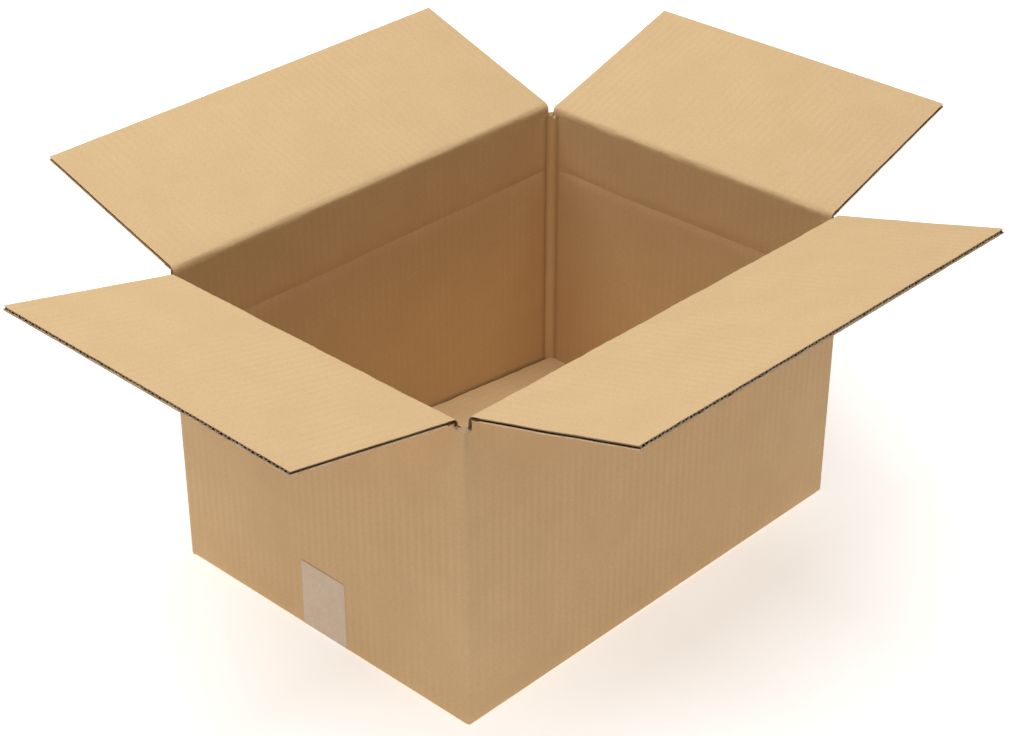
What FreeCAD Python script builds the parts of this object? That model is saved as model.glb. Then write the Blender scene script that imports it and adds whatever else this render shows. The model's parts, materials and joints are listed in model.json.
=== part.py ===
import FreeCAD, Part
import math
import os

from FreeCAD import Vector

# An open shipping carton: one folded sheet of fluted board with its four top flaps folded out.
# X runs along the long side, Y along the short side, Z is up, and Z = 0 is the table.
# Lengths are in millimetres and angles in degrees.

# Driving sizes of the carton
OUTER_LENGTH = 432.0
OUTER_WIDTH = 318.0
FOLD_HEIGHT = 262.0
BOARD = 4.0
INNER_BOTTOM_LENGTH = 166.0

# Fluted board: two liners with a wave of paper between them
FLUTE_PITCH = 7.88
PAPER = 0.45
WEB_ACROSS = 0.5
CREST_OPENING = 1.2

# Clearances
FLAP_CENTRE_GAP = 3.4
FOLD_CLEARANCE = 0.3
HINGE_GAP = 0.3
SEAM_GAP = 2.0
SLOT_INSET = 6.2
SLOT_MARGIN = 0.3

# Top slots, cut off register: from the outside of the walls in to the short and the long flap there
JOINT_SLOT_SHORT = 5.2
JOINT_SLOT_LONG = 3.0
NEAR_SLOT_SHORT = 7.2
NEAR_SLOT_LONG = 6.4
RIGHT_SLOT_SHORT = 11.0
RIGHT_SLOT_LONG = 9.7
BACK_SLOT_SHORT = 5.2
BACK_SLOT_LONG = 8.3
WIDE_SLOT_EXTRA = 4.0

# Creases: the board is crushed to a wedge on each side of a hinge line
INNER_BEVEL = 44.0
WALL_OUTER_BEVEL = 26.0
FLAP_OUTER_BEVEL = 18.0
CRUSHED_ROOT = 8.0

# How far each top flap stands above level, folded out, and how far the inner bottom flaps spring up
SHORT_FRONT_ANGLE = 11.8
LONG_FRONT_ANGLE = 15.9
LONG_BACK_ANGLE = 18.8
SHORT_BACK_ANGLE = 18.1
BOTTOM_SPRING_ANGLE = 5.2

# Corners and folds of the walls
CORNER_RADIUS = 3.0
FOOT_RADIUS = 2.0
BEAD_LEG = 5.4
BEAD_BULGE = 0.9
CHANNEL_DEPTH = 0.8
CHANNEL_RUN = 5.0
HEIGHT_CREASE_Z = 202.7
HEIGHT_CREASE_DEPTH = 0.8
HEIGHT_CREASE_HALF = 1.6

# Glued lap that joins the ends of the sheet, inside the front-left corner
LAP_WIDTH = 35.0
LAP_TRIM = 12.0
LAP_TAPER = 10.0
JOINT_GROOVE_DEPTH = 1.6
JOINT_GROOVE_WIDTH = 2.2

# Packing tape along the bottom seam and up both short walls
TAPE = 0.15
TAPE_GLUE = 0.02
TAPE_FRONT_Y = -27.4
TAPE_BACK_Y = 21.3
TAPE_TOP_Z = 62.6

# Sizes that follow from those above
HALF_LENGTH = OUTER_LENGTH / 2
HALF_WIDTH = OUTER_WIDTH / 2
HALF_BOARD = BOARD / 2
INNER_X = HALF_LENGTH - BOARD
INNER_Y = HALF_WIDTH - BOARD
FLAP_LENGTH = HALF_WIDTH - HALF_BOARD - FLAP_CENTRE_GAP / 2
CREASE_STEP = (BOARD + FOLD_CLEARANCE) / 2
LONG_AXIS_Z = FOLD_HEIGHT + CREASE_STEP
SHORT_AXIS_Z = FOLD_HEIGHT - CREASE_STEP
LONG_BOTTOM_HALF = HALF_LENGTH - SLOT_INSET
SHORT_BOTTOM_HALF = HALF_WIDTH - SLOT_INSET
SHORT_FRONT_SIDES = (JOINT_SLOT_SHORT - HALF_WIDTH, HALF_WIDTH - NEAR_SLOT_SHORT)
LONG_FRONT_SIDES = (NEAR_SLOT_LONG - HALF_LENGTH, HALF_LENGTH - RIGHT_SLOT_LONG)
SHORT_BACK_SIDES = (RIGHT_SLOT_SHORT - HALF_WIDTH, HALF_WIDTH - BACK_SLOT_SHORT)
LONG_BACK_SIDES = (BACK_SLOT_LONG - HALF_LENGTH, HALF_LENGTH - JOINT_SLOT_LONG)
BASE_Z = TAPE + TAPE_GLUE
OUTER_LAYER_TOP = BASE_Z + BOARD
INNER_LAYER_TOP = OUTER_LAYER_TOP + BOARD
OVERLAP = 1.0


def bevel_run(angle):
    """Length over which a wedge of this half angle grows to half the board's thickness."""
    return HALF_BOARD / math.tan(math.radians(angle))


SLOT_BOTTOM_Z = SHORT_AXIS_Z - HINGE_GAP / 2 - bevel_run(WALL_OUTER_BEVEL) - SLOT_MARGIN


def box(low, high):
    """Solid block between two opposite corners."""
    size = Vector(*high) - Vector(*low)
    return Part.makeBox(size.x, size.y, size.z, Vector(*low))


def prism(points, direction):
    """Solid that sweeps a flat polygon along a straight direction."""
    wire = Part.makePolygon([Vector(*point) for point in points + points[:1]])
    return Part.Face(wire).extrude(Vector(*direction))


def channel(centre, pitch, side):
    """Section of one hollow between the wave and a liner; side is +1 when it opens to the inner liner."""
    wide = (pitch - CREST_OPENING - 2 * WEB_ACROSS) / 2
    narrow = CREST_OPENING / 2
    at_liner = side * (HALF_BOARD - PAPER)
    at_crest = -side * (HALF_BOARD - 2 * PAPER)
    return [(centre - wide, at_liner), (centre + wide, at_liner),
            (centre + narrow, at_crest), (centre - narrow, at_crest)]


def flute_section(half_width):
    """Cross-section of the board across its flutes, cut open at both side edges."""
    waves = round(2 * half_width / FLUTE_PITCH)
    pitch = 2 * half_width / waves
    cut_open = channel(half_width, pitch, 1)
    outline = [(half_width, HALF_BOARD), (half_width, cut_open[0][1]), cut_open[0], cut_open[3],
               (half_width, cut_open[3][1]), (half_width, -HALF_BOARD)]
    outline = outline + [(-y, z) for y, z in reversed(outline)]
    rings = [outline]
    for step in range(1, 2 * waves):
        centre = -half_width + step * pitch / 2
        rings.append(channel(centre, pitch, 1 if step % 2 == 0 else -1))
    wires = [Part.makePolygon([Vector(CRUSHED_ROOT, y, z) for y, z in ring + ring[:1]]) for ring in rings]
    return Part.makeFace(Part.makeCompound(wires), "Part::FaceMakerBullseye")


def fluted_sheet(half_width, length):
    """Fluted board from a crushed root along +X to the free edge of a flap."""
    return flute_section(half_width).extrude(Vector(length - CRUSHED_ROOT, 0, 0))


def vertical_edges_at(solid, corners):
    """Edges that stand upright at the given X and Y positions."""
    found = []
    for edge in solid.Edges:
        ends = [vertex.Point for vertex in edge.Vertexes]
        upright = abs(ends[0].x - ends[1].x) + abs(ends[0].y - ends[1].y) < 1e-6
        if upright and any(math.hypot(ends[0].x - x, ends[0].y - y) < 1e-3 for x, y in corners):
            found.append(edge)
    return found


def edges_at_height(solid, z):
    """Edges that lie wholly at one height."""
    return [edge for edge in solid.Edges
            if abs(edge.BoundBox.ZMin - z) < 1e-6 and abs(edge.BoundBox.ZMax - z) < 1e-6]


def wall_envelope():
    """Outside of the walls up to the slots, rounded at three corners and along the foot."""
    block = box((-HALF_LENGTH, -HALF_WIDTH, BASE_Z), (HALF_LENGTH, HALF_WIDTH, SLOT_BOTTOM_Z))
    folded = [(-HALF_LENGTH, -HALF_WIDTH), (HALF_LENGTH, -HALF_WIDTH), (HALF_LENGTH, HALF_WIDTH)]
    block = block.makeFillet(CORNER_RADIUS, vertical_edges_at(block, folded))
    return block.makeFillet(FOOT_RADIUS, edges_at_height(block, BASE_Z))


def corner_bead(corner_x, corner_y, inward_x, inward_y):
    """Rounded ridge of crushed liner that fills an inside corner where two walls fold."""
    leg_x, leg_y = inward_x * BEAD_LEG, inward_y * BEAD_LEG
    back_x, back_y = corner_x - inward_x * OVERLAP, corner_y - inward_y * OVERLAP
    bottom = OUTER_LAYER_TOP + HALF_BOARD
    bulge = BEAD_BULGE / math.sqrt(2)
    start = Vector(corner_x + leg_x, corner_y, bottom)
    middle = Vector(corner_x + leg_x / 2 + inward_x * bulge,
                    corner_y + leg_y / 2 + inward_y * bulge, bottom)
    end = Vector(corner_x, corner_y + leg_y, bottom)
    hidden = [end, Vector(back_x, end.y, bottom), Vector(back_x, back_y, bottom),
              Vector(start.x, back_y, bottom), start]
    outline = Part.Wire([Part.Arc(start, middle, end).toShape()] + Part.makePolygon(hidden).Edges)
    return Part.Face(outline).extrude(Vector(0, 0, SLOT_BOTTOM_Z - bottom))


def corner_channel(corner_x, corner_y, inward_x, inward_y):
    """Crushed band of both walls beside an inside corner, deepest where the ridge stands on it."""
    leg, reach = BEAD_LEG, BEAD_LEG + CHANNEL_RUN
    back_x, back_y = corner_x - inward_x * CHANNEL_DEPTH, corner_y - inward_y * CHANNEL_DEPTH
    bottom = INNER_LAYER_TOP + BEAD_LEG
    section = [(corner_x, corner_y + inward_y * reach, bottom),
               (back_x, corner_y + inward_y * leg, bottom),
               (back_x, back_y, bottom),
               (corner_x + inward_x * leg, back_y, bottom),
               (corner_x + inward_x * reach, corner_y, bottom)]
    return prism(section, (0, 0, FOLD_HEIGHT))


def wall_head(axis_z, sides, trim=0.0):
    """Top strip of one wall, crushed to a wedge under the hinge line, seen along the hinge as Y."""
    low, high = sides[0], sides[1] - trim
    apex = axis_z - HINGE_GAP / 2
    section = [(HALF_BOARD, low, SLOT_BOTTOM_Z),
               (HALF_BOARD, low, apex - bevel_run(WALL_OUTER_BEVEL)),
               (0, low, apex),
               (-HALF_BOARD, low, apex - bevel_run(INNER_BEVEL)),
               (-HALF_BOARD, low, SLOT_BOTTOM_Z)]
    return prism(section, (0, high - low, 0))


def turn_to_side(shape, outward, reach):
    """Move a shape drawn for the +X side to the side that faces the given angle about Z."""
    shape.translate(Vector(reach - HALF_BOARD, 0, 0))
    shape.rotate(Vector(0, 0, 0), Vector(0, 0, 1), outward)
    return shape


def wall_heads():
    """The four strips between the corner slots that carry the top flaps."""
    return [turn_to_side(wall_head(SHORT_AXIS_Z, SHORT_BACK_SIDES), 0, HALF_LENGTH),
            turn_to_side(wall_head(LONG_AXIS_Z, LONG_BACK_SIDES), 90, HALF_WIDTH),
            turn_to_side(wall_head(SHORT_AXIS_Z, SHORT_FRONT_SIDES, WIDE_SLOT_EXTRA), 180, HALF_LENGTH),
            turn_to_side(wall_head(LONG_AXIS_Z, LONG_FRONT_SIDES), 270, HALF_WIDTH)]


def outer_bottom_flaps():
    """The two long bottom flaps, lying flat and meeting at the seam."""
    flap = box((-LONG_BOTTOM_HALF, SEAM_GAP / 2, BASE_Z),
               (LONG_BOTTOM_HALF, INNER_Y + OVERLAP, OUTER_LAYER_TOP))
    return [flap, flap.mirror(Vector(0, 0, 0), Vector(0, 1, 0))]


def inner_bottom_flaps():
    """The two short bottom flaps inside, which spring up a little from their folds."""
    root = box((OVERLAP, -SHORT_BOTTOM_HALF, -HALF_BOARD), (CRUSHED_ROOT, SHORT_BOTTOM_HALF, HALF_BOARD))
    flap = root.fuse(fluted_sheet(SHORT_BOTTOM_HALF, INNER_BOTTOM_LENGTH))
    flap.rotate(Vector(HALF_BOARD, 0, -HALF_BOARD), Vector(0, -1, 0), BOTTOM_SPRING_ANGLE)
    flap.translate(Vector(HALF_BOARD - HALF_LENGTH, 0, OUTER_LAYER_TOP + HALF_BOARD))
    return [flap, flap.mirror(Vector(0, 0, 0), Vector(1, 0, 0))]


def glued_lap():
    """Tab of the back wall, folded and glued to the inside of the front short wall."""
    low, high = INNER_LAYER_TOP + LAP_TRIM, SLOT_BOTTOM_Z - LAP_TRIM
    free_y = INNER_Y - LAP_WIDTH
    outline = [(-INNER_X - OVERLAP, INNER_Y + OVERLAP, low),
               (-INNER_X - OVERLAP, free_y, low + LAP_TAPER),
               (-INNER_X - OVERLAP, free_y, high - LAP_TAPER),
               (-INNER_X - OVERLAP, INNER_Y + OVERLAP, high)]
    return prism(outline, (BOARD + OVERLAP, 0, 0))


def joint_groove():
    """Upright groove outside, between the cut edge of the front wall and the fold of the lap."""
    outside = HALF_WIDTH + OVERLAP
    section = [(-INNER_X, outside, 0),
               (-INNER_X, HALF_WIDTH - JOINT_GROOVE_DEPTH, 0),
               (-INNER_X + JOINT_GROOVE_WIDTH, HALF_WIDTH, 0),
               (-INNER_X + JOINT_GROOVE_WIDTH, outside, 0)]
    return prism(section, (0, 0, FOLD_HEIGHT))


def height_crease(reach, half_run):
    """Shallow scored line across the inside of one wall, seen along the wall as Y."""
    face = reach - BOARD
    section = [(face - OVERLAP, -half_run, HEIGHT_CREASE_Z - HEIGHT_CREASE_HALF),
               (face, -half_run, HEIGHT_CREASE_Z - HEIGHT_CREASE_HALF),
               (face + HEIGHT_CREASE_DEPTH, -half_run, HEIGHT_CREASE_Z),
               (face, -half_run, HEIGHT_CREASE_Z + HEIGHT_CREASE_HALF),
               (face - OVERLAP, -half_run, HEIGHT_CREASE_Z + HEIGHT_CREASE_HALF)]
    return prism(section, (0, 2 * half_run, 0))


def height_creases():
    """The scored lines on the inside of all four walls, stopping at the corner beads."""
    cuts = []
    for outward in (0, 90, 180, 270):
        reach, half_run = (HALF_LENGTH, INNER_Y) if outward % 180 == 0 else (HALF_WIDTH, INNER_X)
        cut = height_crease(reach, half_run - BEAD_LEG)
        cut.rotate(Vector(0, 0, 0), Vector(0, 0, 1), outward)
        cuts.append(cut)
    return cuts


def carton_body():
    """Walls, glued lap and bottom flaps of the folded sheet."""
    inside = box((-INNER_X, -INNER_Y, 0), (INNER_X, INNER_Y, FOLD_HEIGHT))
    folded_corners = [(INNER_X, INNER_Y, -1, -1), (INNER_X, -INNER_Y, -1, 1), (-INNER_X, -INNER_Y, 1, 1)]
    channels = [corner_channel(*corner) for corner in folded_corners]
    beads = [corner_bead(*corner) for corner in folded_corners]
    walls = wall_envelope().cut(inside).cut(channels).fuse(wall_heads())
    walls = walls.cut([joint_groove()] + height_creases())
    pieces = beads + [glued_lap()] + outer_bottom_flaps() + inner_bottom_flaps()
    return walls.fuse(pieces).removeSplitter()


def top_flap(sides, trim=0.0):
    """One top flap, lying level from its hinge line along +X with the inner liner upwards."""
    low, high = sides
    apex = HINGE_GAP / 2
    fluted = fluted_sheet((high - low) / 2, FLAP_LENGTH)
    fluted.translate(Vector(0, (low + high) / 2, 0))
    root = [(apex, low, 0),
            (apex + bevel_run(INNER_BEVEL), low, HALF_BOARD),
            (CRUSHED_ROOT, low, HALF_BOARD),
            (CRUSHED_ROOT, low, -HALF_BOARD),
            (apex + bevel_run(FLAP_OUTER_BEVEL), low, -HALF_BOARD)]
    sheet = prism(root, (0, high - low, 0)).fuse(fluted)
    if trim:
        slant = [(0, high - trim, -BOARD), (FLAP_LENGTH, high, -BOARD),
                 (FLAP_LENGTH, high + OVERLAP, -BOARD), (0, high + OVERLAP, -BOARD)]
        sheet = sheet.cut(prism(slant, (0, 0, 2 * BOARD)))
    return sheet.removeSplitter()


def place_flap(shape, angle, outward):
    """Raise a level flap by its rest angle and carry it to the hinge of the wall on that side."""
    on_short_wall = outward % 180 == 0
    shape.rotate(Vector(0, 0, 0), Vector(0, -1, 0), angle)
    turn_to_side(shape, outward, HALF_LENGTH if on_short_wall else HALF_WIDTH)
    shape.translate(Vector(0, 0, SHORT_AXIS_Z if on_short_wall else LONG_AXIS_Z))
    return shape


def bottom_tape():
    """Strip of tape that covers the seam and turns up both short walls."""
    inner, outer = HALF_LENGTH + TAPE_GLUE, HALF_LENGTH + BASE_Z
    inner_radius, outer_radius = FOOT_RADIUS + TAPE_GLUE, FOOT_RADIUS + BASE_Z
    width = TAPE_BACK_Y - TAPE_FRONT_Y

    def cradle(half, bottom, radius):
        """Block as wide as the carton with both lower edges rounded."""
        block = box((-half, TAPE_FRONT_Y, bottom), (half, TAPE_BACK_Y, TAPE_TOP_Z))
        lower = [edge for edge in edges_at_height(block, bottom) if abs(edge.Length - width) < 1e-6]
        return block.makeFillet(radius, lower)

    return cradle(outer, 0, outer_radius).cut(cradle(inner, TAPE, inner_radius))


def build():
    """Every separately named piece of the carton."""
    return {
        "carton_body": carton_body(),
        "short_flap_front": place_flap(top_flap(SHORT_FRONT_SIDES, WIDE_SLOT_EXTRA), SHORT_FRONT_ANGLE, 180),
        "short_flap_back": place_flap(top_flap(SHORT_BACK_SIDES), SHORT_BACK_ANGLE, 0),
        "long_flap_front": place_flap(top_flap(LONG_FRONT_SIDES), LONG_FRONT_ANGLE, 270),
        "long_flap_back": place_flap(top_flap(LONG_BACK_SIDES), LONG_BACK_ANGLE, 90),
        "bottom_tape": bottom_tape(),
    }


os.makedirs("parts", exist_ok=True)
for node, shape in build().items():
    shape.exportStep("parts/" + node + ".step")
    print(node, len(shape.Solids), shape.isValid(), round(shape.Volume))
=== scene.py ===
"""An open shipping carton in brown fluted board, its four top flaps folded outwards.

Every length is in metres and every angle in radians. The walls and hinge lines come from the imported
frame. What is added here is the paper itself: two liners with a wave of paper between them, soft folds,
cut edges, corner beads, a scored height line, packing tape and the mottled kraft colour.
"""

import json
import math

import bmesh
import bpy
import numpy as np
from mathutils import Matrix, Vector


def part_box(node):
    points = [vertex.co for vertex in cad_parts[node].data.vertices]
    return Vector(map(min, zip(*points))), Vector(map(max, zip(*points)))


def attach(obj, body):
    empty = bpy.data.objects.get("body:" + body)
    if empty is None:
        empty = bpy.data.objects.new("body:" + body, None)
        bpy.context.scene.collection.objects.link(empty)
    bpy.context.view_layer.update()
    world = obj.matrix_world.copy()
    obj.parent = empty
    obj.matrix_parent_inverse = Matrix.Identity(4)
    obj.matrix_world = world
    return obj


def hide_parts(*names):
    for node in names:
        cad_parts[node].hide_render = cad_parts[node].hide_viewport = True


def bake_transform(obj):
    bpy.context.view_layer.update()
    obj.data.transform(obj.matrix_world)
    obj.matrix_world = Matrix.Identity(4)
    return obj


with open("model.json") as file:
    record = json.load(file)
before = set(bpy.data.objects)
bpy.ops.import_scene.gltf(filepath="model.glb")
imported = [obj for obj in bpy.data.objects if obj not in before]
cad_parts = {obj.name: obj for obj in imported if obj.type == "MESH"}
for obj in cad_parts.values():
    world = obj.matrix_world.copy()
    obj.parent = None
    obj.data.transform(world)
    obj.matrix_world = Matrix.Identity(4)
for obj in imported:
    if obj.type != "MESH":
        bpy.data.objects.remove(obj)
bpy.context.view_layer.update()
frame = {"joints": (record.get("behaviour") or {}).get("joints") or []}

MM = 0.001
UP = np.array([0.0, 0.0, 1.0])

# The board
BOARD = 4.0 * MM
HALF_BOARD = BOARD / 2
LINER = 0.32 * MM
MEDIUM = 0.5 * MM
FLUTE_PITCH = 7.88 * MM
STEPS_PER_FLUTE = 14
FLUTE_ROWS = 10
WAVE_SWING = 1.18
MERGE_DISTANCE = 0.005 * MM

# Material slots, in the order of BOARD_MATERIALS
INNER_PAPER, OUTER_PAPER, WAVE_PAPER, CUT_PAPER = range(4)

# The carton, from the frame
BODY_LOW, BODY_HIGH = (np.array(corner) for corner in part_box("carton_body"))
HALF_LENGTH, HALF_WIDTH, BASE_Z = BODY_HIGH[0], BODY_HIGH[1], BODY_LOW[2]
TAPE_LOW, TAPE_HIGH = (np.array(corner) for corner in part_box("bottom_tape"))
JOINTS = {joint["name"]: joint for joint in frame["joints"]}

# Folds and slots
FOLD_REACH = 1.4 * MM
FOLD_CRUSH = 0.65 * MM
FOLD_STEP = 1.5 * MM
FOLD_DRIFT = 0.5 * MM
FOLD_WIDTH = 1.7 * MM
FOLD_ROW = 1.2 * MM
FOLD_FADE = 2 * MM
FOLD_SEEDS = (400, 420, 440, 460)
CRINKLE = 0.12 * MM
CRINKLE_REACH = 3.5 * MM
WRINKLE = 0.8 * MM
WRINKLE_PLACE = 5.2 * MM
WRINKLE_DEPTH = 0.35 * MM
# Painted shade along the fold creases and their wrinkle
CREASE_PAINTED_SHADE = 0.12
CRUSHED_ROOT = 8.0 * MM
SLOT_INSET = 6.2 * MM
WIDE_SLOT_EXTRA = 4.0 * MM
SLOT_DROP = 4.55 * MM
CENTRE_GAP = 3.4 * MM
SEAM_GAP = 2.0 * MM

# Cut edges: how the knife crushed the board and left the paper
CUT_RUN = 1.6 * MM
EDGE_SHY = 0.15 * MM
INNER_LIP = 0.35 * MM
OUTER_LIP = 1.3 * MM
SIDE_LIP_SHARE = 0.75
SURFACE_CRUSH = 0.12 * MM
EDGE_WEAR = 0.25
MEDIUM_INSET = 1.7 * MM
MEDIUM_TEAR = 0.08 * MM
FLAP_RAGGED = 0.25 * MM
FLAP_RIPPLE = 0.3 * MM

# Bottom flaps
INNER_BOTTOM_LENGTH = 166.0 * MM
BOTTOM_SPRING = math.radians(5.2)
BOTTOM_RAGGED = 0.9 * MM
BOTTOM_RIPPLE = 0.5 * MM

# Corners
CORNER_RADIUS = 3.0 * MM
FOOT_RADIUS = 2.0 * MM
BEAD_LEG = 5.4 * MM
BEAD_BULGE = 1.15 * MM
BEAD_WOBBLE = 0.12
# Painted highlight on the corner beads, painted shade in the channels beside them and a little painted light
# on the swell beyond
BEAD_HIGHLIGHT = 0.5
CHANNEL_SHADE = -0.55
SWELL_LIGHT = 0.15
# Painted shade on the slot floors at the tops of the corners
SLOT_FLOOR_SHADE = -1.0
CHANNEL_DEPTH = 0.8 * MM
CHANNEL_RUN = 5.0 * MM
SWELL = 0.35 * MM
GROOVE_DEPTH = 1.6 * MM
LAP_WIDTH = 35.0 * MM
LAP_TRIM = 12.0 * MM
LAP_TAPER = 10.0 * MM
LAP_RAGGED = 0.5 * MM
LAP_EDGE_CRUSH = 0.6 * MM
LAP_SEAT = 0.4 * MM
WALL_RIPPLE = 0.3 * MM
NEAR_CORNER = np.array([24, 18, 13, 11, 9, 7, 5, 4, 3, 2, 1, 0.4, 0, -0.6, -1.5, -2.7]) * MM
TOP_ROWS = np.array([3.6, 2.4, 1.2, 0.4, 0.0]) * MM
TOLERANCE = 1e-6
SHARP_ANGLE = math.radians(38)

# Scored height line
HEIGHT_CREASE_Z = 202.7 * MM
SCORE_DEPTH = 0.5 * MM
SCORE_REACH = 5.0 * MM
SCORE_CUT = 0.22 * MM
SCORE_CUT_REACH = 1.1 * MM
SCORE_WAVER = 0.9 * MM
SCORE_ROWS = np.array([-13, -10, -7.5, -5.5, -4, -2.8, -1.8, -1, -0.4, 0,
                       0.4, 1, 1.8, 2.8, 4, 5.5, 7.5, 10, 13]) * MM

# Tape
TAPE_DEEP = (0.57, 0.43, 0.29)
TAPE_PALE = (0.62, 0.475, 0.33)
TRAPPED_AIR = (0.77, 0.61, 0.445)
TAPE_CLEARANCE = 0.02 * MM
TOOTH_DEPTH = 0.45 * MM
TOOTH_STEP = 0.75 * MM

# Paper: each set of fibres has its turn, then its scale across and along
ALONG_FIBRES = (0.16, 380.0, 2100.0)
ACROSS_FIBRES = (1.35, 420.0, 2300.0)
BUMP_DISTANCE = 0.1 * MM
THIN_PULP_SHARE = 0.25
BRIGHT_FIBRE_SHARE = 0.34
DARK_FIBRE_SHARE = 0.34
BARK_SHARE = 0.25

# Light
LAMP_PLACE = (-0.18, 0.25, 2.0)
LAMP_SIZE = 2.2
LAMP_POWER = 50.0
FLOOR_ALBEDO = 0.9
# The floor glows for light rays as painted bounce light, strongest near the carton; camera rays see their own
# glow that keeps the floor white
FLOOR_BOUNCE_NEAR = 0.97
FLOOR_BOUNCE_FAR = 0.0
FLOOR_NEAR = 0.6
FLOOR_FAR = 1.3
FLOOR_FADE_START = 0.4
FLOOR_FADE_END = 1.2
FLOOR_SIZE = 30.0

# Grid steps
ACROSS_STEP = 3.0 * MM
ALONG_STEP = 6.0 * MM


def smooth(value):
    """Soft step from 0 to 1."""
    value = np.clip(value, 0.0, 1.0)
    return value * value * (3 - 2 * value)


def wander(where, wavelength, seed):
    """Smooth seeded wobble between about -1 and 1 along a line."""
    where = np.asarray(where, float) / wavelength
    knots = np.random.default_rng(seed).uniform(-1, 1, 2048)
    cell = np.floor(where).astype(int)
    share = smooth(where - cell)
    return knots[cell % 2048] * (1 - share) + knots[(cell + 1) % 2048] * share


def ripple(first, second, wavelength, seed):
    """Smooth seeded wobble between about -1 and 1 over a surface."""
    rng = np.random.default_rng(seed)
    total = 0.0
    for _ in range(6):
        turn, phase, stretch = rng.uniform(0, math.tau), rng.uniform(0, math.tau), rng.uniform(0.7, 1.6)
        wave = math.tau / (wavelength * stretch)
        total = total + np.sin(wave * (first * math.cos(turn) + second * math.sin(turn)) + phase)
    return total / math.sqrt(12)


# Materials
def grow(tree, kind, values=(), **settings):
    """A node with its settings, and each input set to a value or linked to another node's output."""
    made = tree.nodes.new(kind)
    for name, value in settings.items():
        setattr(made, name, value)
    for socket, value in dict(values).items():
        if isinstance(value, bpy.types.NodeSocket):
            tree.links.new(value, made.inputs[socket])
        else:
            made.inputs[socket].default_value = value
    return made


def new_material(name):
    """A new material, its node tree and its shader."""
    material = bpy.data.materials.new(name)
    material.use_nodes = True
    return material, material.node_tree, material.node_tree.nodes["Principled BSDF"]


def maths(tree, operation, first, second=0.0):
    """One arithmetic step of a node tree."""
    return grow(tree, "ShaderNodeMath", {0: first, 1: second}, operation=operation).outputs[0]


def blended(tree, share, first, second, mode="MIX"):
    """Colour mix of two colours by a share."""
    mix = grow(tree, "ShaderNodeMix", {"Factor": share}, data_type="RGBA", blend_type=mode)
    for socket, value in ((6, first), (7, second)):
        if isinstance(value, bpy.types.NodeSocket):
            tree.links.new(value, mix.inputs[socket])
        else:
            mix.inputs[socket].default_value = (*value, 1.0)
    return mix.outputs[2]


def ramp(tree, value, low, high):
    """Rise from 0 at low to 1 at high, smoothed."""
    ranged = grow(tree, "ShaderNodeMapRange", {"Value": value, "From Min": low, "From Max": high},
                  interpolation_type="SMOOTHSTEP")
    return ranged.outputs[0]


def stretched(tree, place, turn, across, along):
    """Board coordinates turned and scaled, so that noise makes streaks of paper fibre."""
    return grow(tree, "ShaderNodeMapping", {"Vector": place, "Rotation": (0, 0, turn),
                                           "Scale": (across, along, 1.0)}).outputs[0]


def noise(tree, place, scale, detail=2.0, roughness=0.5, distortion=0.0):
    """Noise value of a pattern."""
    return grow(tree, "ShaderNodeTexNoise",
                {"Vector": place, "Scale": scale, "Detail": detail, "Roughness": roughness,
                 "Distortion": distortion}).outputs["Fac"]


def specks(tree, place, scale, size, share):
    """Mask of scattered flecks: bark and shives in the pulp."""
    cells = grow(tree, "ShaderNodeTexVoronoi", {"Vector": place, "Scale": scale, "Randomness": 1.0},
                 feature="F1")
    chosen = maths(tree, "LESS_THAN", grow(tree, "ShaderNodeSeparateColor",
                                          {"Color": cells.outputs["Color"]}).outputs[0], share)
    near = ramp(tree, cells.outputs["Distance"], size, size * 0.4)
    return maths(tree, "MULTIPLY", chosen, near)


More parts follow.
